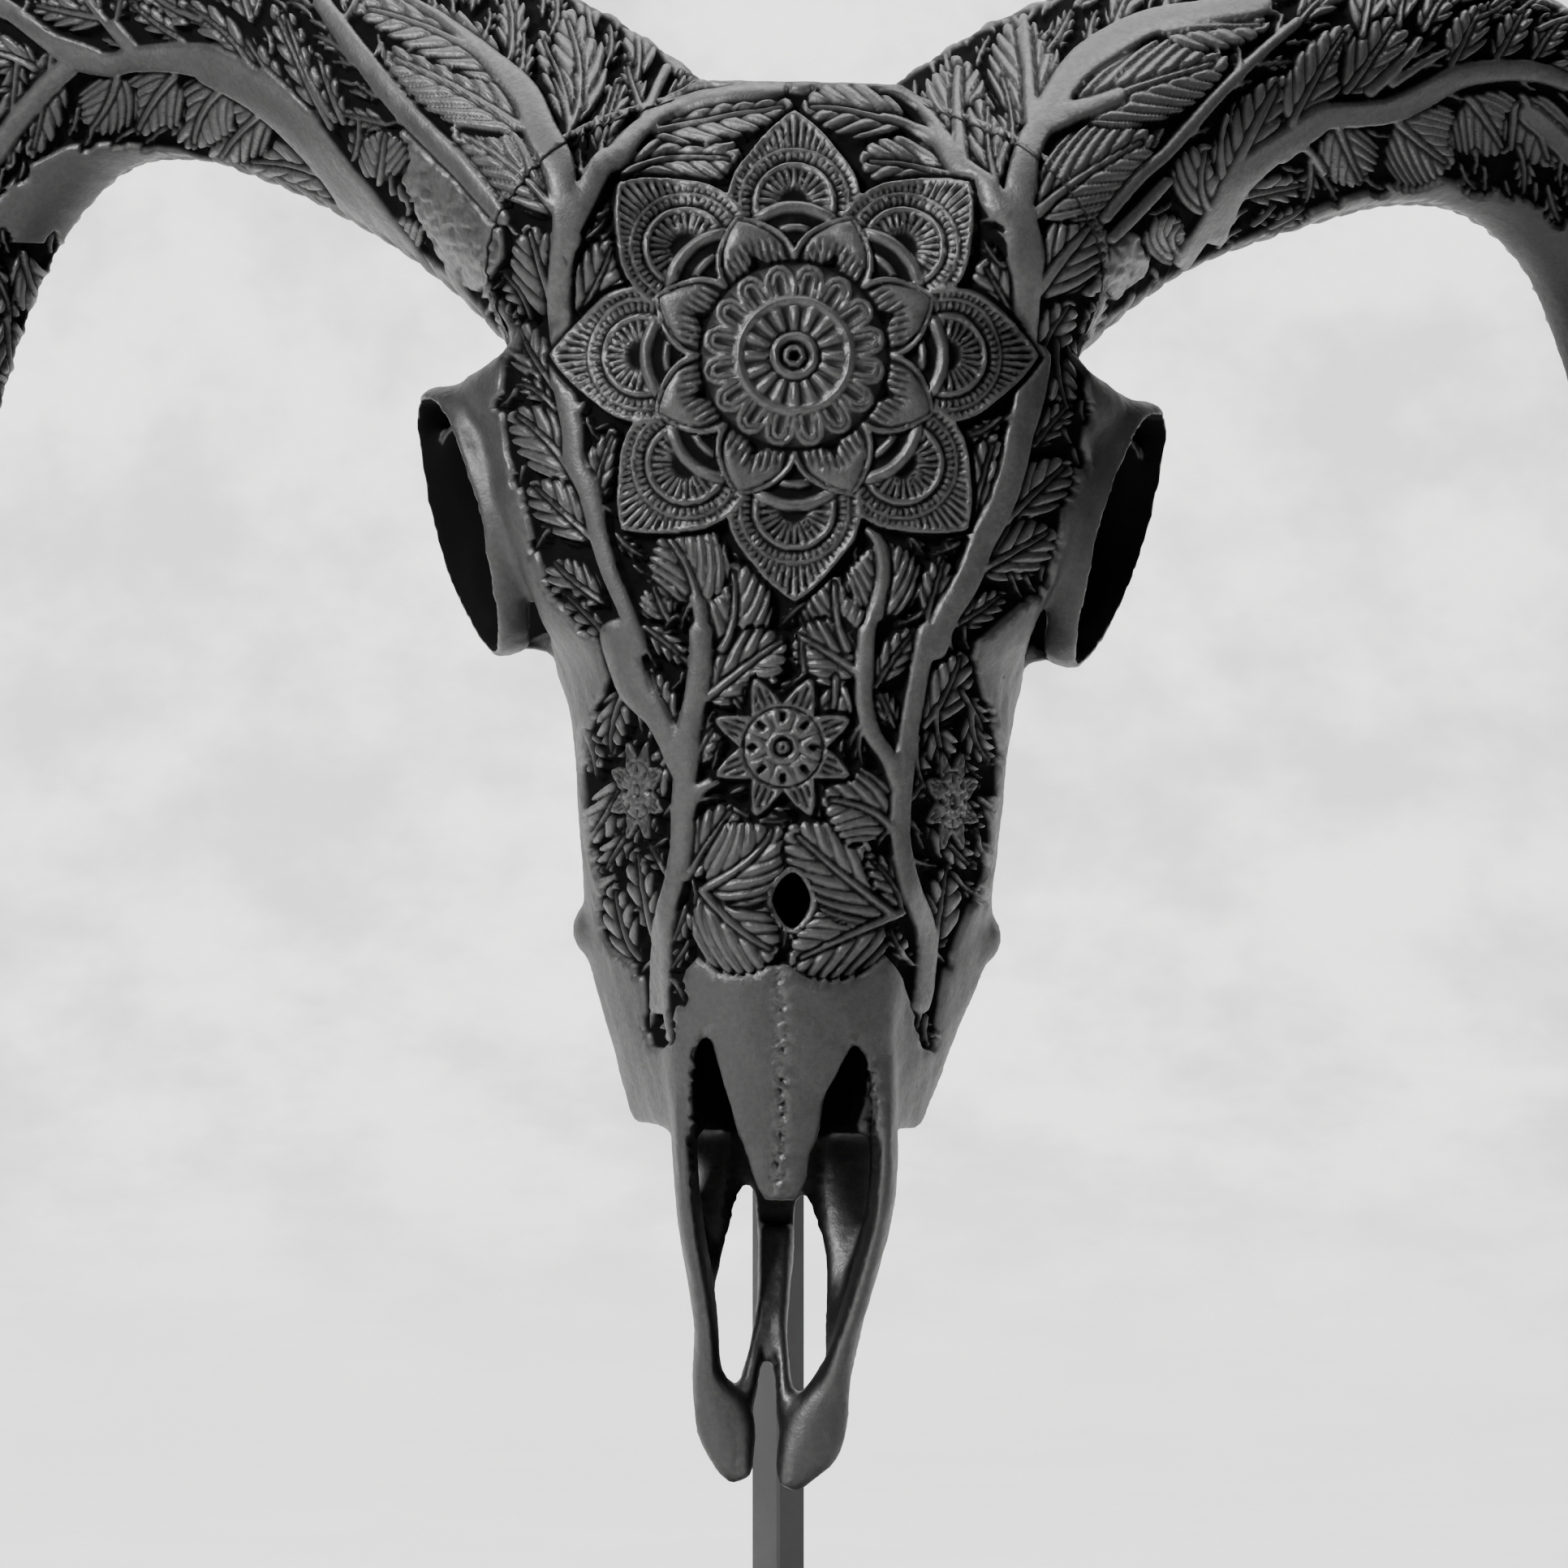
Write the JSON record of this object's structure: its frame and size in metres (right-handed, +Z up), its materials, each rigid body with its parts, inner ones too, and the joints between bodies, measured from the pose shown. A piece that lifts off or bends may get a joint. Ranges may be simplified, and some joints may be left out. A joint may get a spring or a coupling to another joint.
{
  "type": "carved ram skull on a stand",
  "caption": "Ram skull with curled horns, painted black and relief-carved with a mandala and leafy vines, held nose down on a square steel post with a flat base.",
  "frame": {"origin": "centre of the base plate's underside, where the stand rests", "axes": "+Z up along the post, -Y towards the front of the face, +X to the viewer's right"},
  "size_m": [0.468, 0.18, 0.41],
  "materials": {
    "painted_bone": "satin black paint over carved bone, raised work rubbed to dark grey",
    "painted_horn": "satin black paint over carved horn",
    "painted_tooth": "satin black paint over enamel",
    "black_steel": "satin black powder coat"
  },
  "bodies": {
    "root": {"skull": "painted_bone", "horn_left": "painted_horn", "horn_right": "painted_horn", "tooth_left_1": "painted_tooth", "tooth_left_2": "painted_tooth", "tooth_left_3": "painted_tooth", "tooth_left_4": "painted_tooth", "tooth_left_5": "painted_tooth", "tooth_left_6": "painted_tooth", "tooth_right_1": "painted_tooth", "tooth_right_2": "painted_tooth", "tooth_right_3": "painted_tooth", "tooth_right_4": "painted_tooth", "tooth_right_5": "painted_tooth", "tooth_right_6": "painted_tooth", "stand_base": "black_steel", "stand_post": "black_steel", "stand_pin": "black_steel"}
  },
  "joints": []
}
